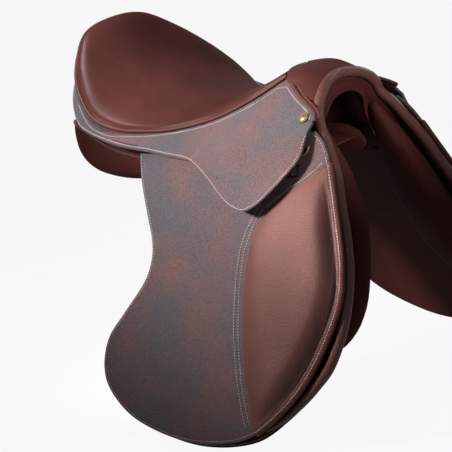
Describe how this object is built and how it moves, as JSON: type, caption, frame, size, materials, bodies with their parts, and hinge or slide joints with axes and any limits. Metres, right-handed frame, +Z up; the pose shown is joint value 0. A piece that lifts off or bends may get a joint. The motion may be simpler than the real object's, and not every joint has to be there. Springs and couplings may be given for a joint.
{
  "type": "jumping saddle",
  "caption": "English jumping saddle in brown leather: deep seat, grained skirts, forward flaps with outside knee pads, spring tree and stirrup bars",
  "frame": {"origin": "on the centre plane, at the level of the horse's spine under the lowest part of the seat", "axes": "+X to the pommel, +Y to the near (left) side, +Z up"},
  "size_m": [0.5518, 0.5152, 0.5022],
  "materials": {
    "seat_leather": "smooth calf leather, satin sheen",
    "grain_leather": "fine pebble grain, low sheen",
    "calf_leather": "smooth calf leather, satin sheen",
    "panel_leather": "smooth dark leather",
    "edge_leather": "rolled and sewn edge leather",
    "brass": "polished brass",
    "steel": "brushed stainless steel",
    "beech": "sealed laminated beech",
    "foam": "open-cell seat foam",
    "webbing": "woven flax webbing"
  },
  "bodies": {
    "saddle": {"tree_rails": "beech", "tree_head": "beech", "head_plate": "steel", "gullet_plate": "steel", "arch_lining": "panel_leather", "tree_spring_right": "steel", "tree_spring_left": "steel", "tree_rivets": "steel", "seat_web": "webbing", "cross_webs": "webbing", "seat_foam": "foam", "seat_cover": "seat_leather", "seat_welt": "edge_leather", "skirt_right": "grain_leather", "skirt_left": "grain_leather", "front_welt_right": "edge_leather", "front_welt_left": "edge_leather", "pommel_cap": "calf_leather", "pommel_badge": "brass", "stud_right": "brass", "stud_left": "brass", "panel_right": "calf_leather", "panel_left": "calf_leather", "front_panel_right": "panel_leather", "front_panel_left": "panel_leather", "front_roll": "edge_leather", "gullet_strip": "panel_leather", "sweat_flap_right": "calf_leather", "sweat_flap_left": "calf_leather", "point_pocket_right": "panel_leather", "point_pocket_left": "panel_leather", "flap_root_right": "grain_leather", "flap_root_left": "grain_leather", "stirrup_bar_right": "steel", "stirrup_bar_left": "steel", "catch_pin_right": "steel", "catch_pin_left": "steel", "girth_web_right": "webbing", "girth_web_left": "webbing", "dee_chape_right": "edge_leather", "dee_chape_left": "edge_leather"},
    "lobe_right": {"skirt_lobe_right": "grain_leather"},
    "fender_right": {"flap_right": "grain_leather", "knee_pad_right": "calf_leather", "flap_binding_right": "edge_leather"},
    "strap_front_right": {"girth_strap_front_right": "edge_leather"},
    "strap_rear_right": {"girth_strap_rear_right": "edge_leather"},
    "catch_right": {"stirrup_catch_right": "steel"},
    "dee_right": {"front_dee_right": "brass"},
    "lobe_left": {"skirt_lobe_left": "grain_leather"},
    "fender_left": {"flap_left": "grain_leather", "knee_pad_left": "calf_leather", "flap_binding_left": "edge_leather"},
    "strap_front_left": {"girth_strap_front_left": "edge_leather"},
    "strap_rear_left": {"girth_strap_rear_left": "edge_leather"},
    "catch_left": {"stirrup_catch_left": "steel"},
    "dee_left": {"front_dee_left": "brass"}
  },
  "joints": [
    {"name": "lobe_lift_right", "type": "hinge", "parent": "saddle", "child": "lobe_right", "pos_m": [0.03676, -0.12864, 0.03945], "axis": [-0.9569, -0.2144, -0.1959], "range_deg": [0, 75]},
    {"name": "lobe_lift_left", "type": "hinge", "parent": "saddle", "child": "lobe_left", "pos_m": [0.03676, 0.12864, 0.03945], "axis": [0.9569, -0.2144, 0.1959], "range_deg": [0, 75]},
    {"name": "flap_lift_right", "type": "hinge", "parent": "saddle", "child": "fender_right", "pos_m": [0.15534, -0.12446, -0.01919], "axis": [-0.8141, -0.3138, -0.4886], "range_deg": [0, 60]},
    {"name": "flap_lift_left", "type": "hinge", "parent": "saddle", "child": "fender_left", "pos_m": [0.15534, 0.12446, -0.01919], "axis": [0.8141, -0.3138, 0.4886], "range_deg": [0, 60]},
    {"name": "strap_front_swing_right", "type": "hinge", "parent": "saddle", "child": "strap_front_right", "pos_m": [0.07132, -0.11583, 0.00822], "axis": [0.129, -0.9182, 0.3746], "range_deg": [-5, 5]},
    {"name": "strap_front_swing_left", "type": "hinge", "parent": "saddle", "child": "strap_front_left", "pos_m": [0.07132, 0.11583, 0.00822], "axis": [-0.129, -0.9182, -0.3746], "range_deg": [-5, 5]},
    {"name": "strap_rear_swing_right", "type": "hinge", "parent": "saddle", "child": "strap_rear_right", "pos_m": [0.01586, -0.12362, 0.00822], "axis": [0.129, -0.9182, 0.3746], "range_deg": [-5, 5]},
    {"name": "strap_rear_swing_left", "type": "hinge", "parent": "saddle", "child": "strap_rear_left", "pos_m": [0.01586, 0.12362, 0.00822], "axis": [-0.129, -0.9182, -0.3746], "range_deg": [-5, 5]},
    {"name": "catch_tip_right", "type": "hinge", "parent": "saddle", "child": "catch_right", "pos_m": [0.11157, -0.11478, 0.03164], "axis": [-0.129, 0.9182, -0.3746], "range_deg": [0, 50]},
    {"name": "catch_tip_left", "type": "hinge", "parent": "saddle", "child": "catch_left", "pos_m": [0.11157, 0.11478, 0.03164], "axis": [0.129, 0.9182, 0.3746], "range_deg": [0, 50]},
    {"name": "dee_swing_right", "type": "hinge", "parent": "saddle", "child": "dee_right", "pos_m": [0.20395, -0.08951, 0.05908], "axis": [-0.9903, -0.1392, 0], "range_deg": [0, 15]},
    {"name": "dee_swing_left", "type": "hinge", "parent": "saddle", "child": "dee_left", "pos_m": [0.20395, 0.08951, 0.05908], "axis": [0.9903, -0.1392, 0], "range_deg": [0, 15]}
  ]
}
